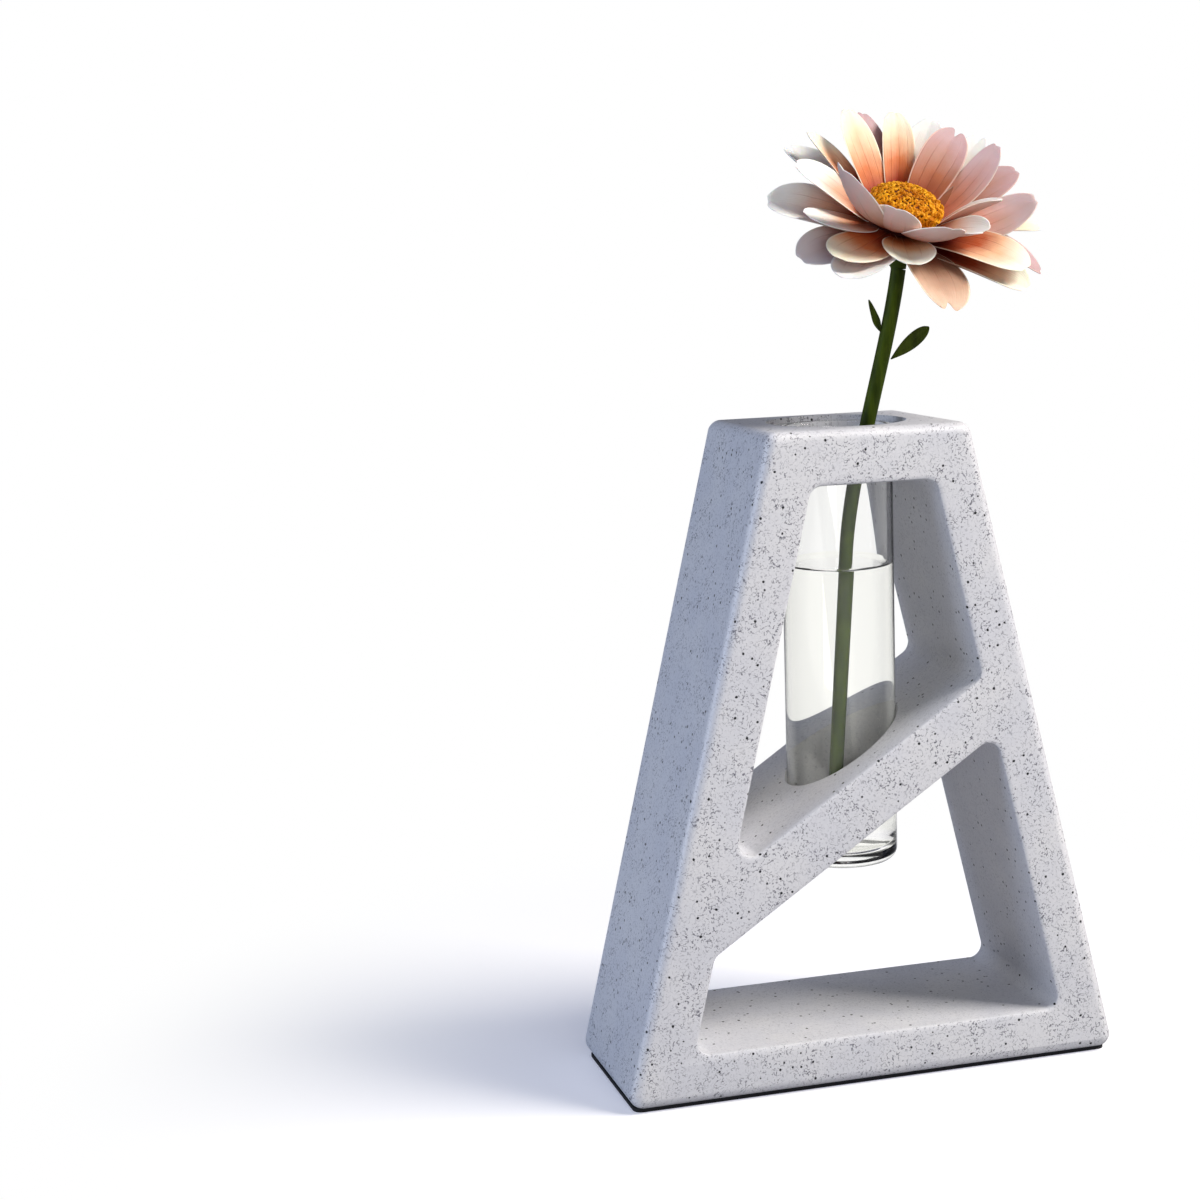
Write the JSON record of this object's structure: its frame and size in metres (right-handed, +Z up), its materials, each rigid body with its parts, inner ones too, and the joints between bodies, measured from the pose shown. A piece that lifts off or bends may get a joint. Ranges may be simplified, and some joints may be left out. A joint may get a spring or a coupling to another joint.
{
  "type": "test tube vase",
  "caption": "A-shaped cast block with two windows holding a glass test tube upright, with water and a single cut flower that turns and lifts out.",
  "frame": {"origin": "middle of the flat underside, on the surface that the vase stands on", "axes": "+X along the front from the viewer's left to right, +Y from the front face to the back, +Z up along the test tube"},
  "size_m": [0.1178, 0.052, 0.2205],
  "materials": {
    "cast_stone": "satin",
    "black_sheet": "matte",
    "clear_glass": "polished",
    "water": "polished",
    "stem_green": "satin",
    "leaf_green": "satin",
    "disc_gold": "matte",
    "petal_inner": "satin",
    "petal_middle": "satin",
    "petal_outer": "satin"
  },
  "bodies": {
    "block": {"cast_frame": "cast_stone", "base_sheet": "black_sheet"},
    "tube": {"glass_tube": "clear_glass"},
    "water": {"water": "water"},
    "flower": {"flower_stem": "stem_green", "leaf_left": "leaf_green", "leaf_right": "leaf_green", "calyx": "stem_green", "flower_disc": "disc_gold", "petal_inner_1": "petal_inner", "petal_inner_2": "petal_inner", "petal_inner_3": "petal_inner", "petal_inner_4": "petal_inner", "petal_inner_5": "petal_inner", "petal_inner_6": "petal_inner", "petal_inner_7": "petal_inner", "petal_inner_8": "petal_inner", "petal_inner_9": "petal_inner", "petal_middle_1": "petal_middle", "petal_middle_2": "petal_middle", "petal_middle_3": "petal_middle", "petal_middle_4": "petal_middle", "petal_middle_5": "petal_middle", "petal_middle_6": "petal_middle", "petal_middle_7": "petal_middle", "petal_middle_8": "petal_middle", "petal_middle_9": "petal_middle", "petal_middle_10": "petal_middle", "petal_middle_11": "petal_middle", "petal_outer_1": "petal_outer", "petal_outer_2": "petal_outer", "petal_outer_3": "petal_outer", "petal_outer_4": "petal_outer", "petal_outer_5": "petal_outer", "petal_outer_6": "petal_outer", "petal_outer_7": "petal_outer", "petal_outer_8": "petal_outer"}
  },
  "joints": [
    {"name": "tube_lift", "type": "slide", "parent": "block", "child": "tube", "axis": [0, 0, 1], "range_m": [0, 0.105]},
    {"name": "flower_turn", "type": "hinge", "parent": "tube", "child": "water", "pos_m": [0, 0, 0.149], "axis": [0, 0, 1], "continuous": true},
    {"name": "flower_pull", "type": "slide", "parent": "water", "child": "flower", "axis": [0.0628, 0, 0.998], "range_m": [0, 0.1]}
  ]
}
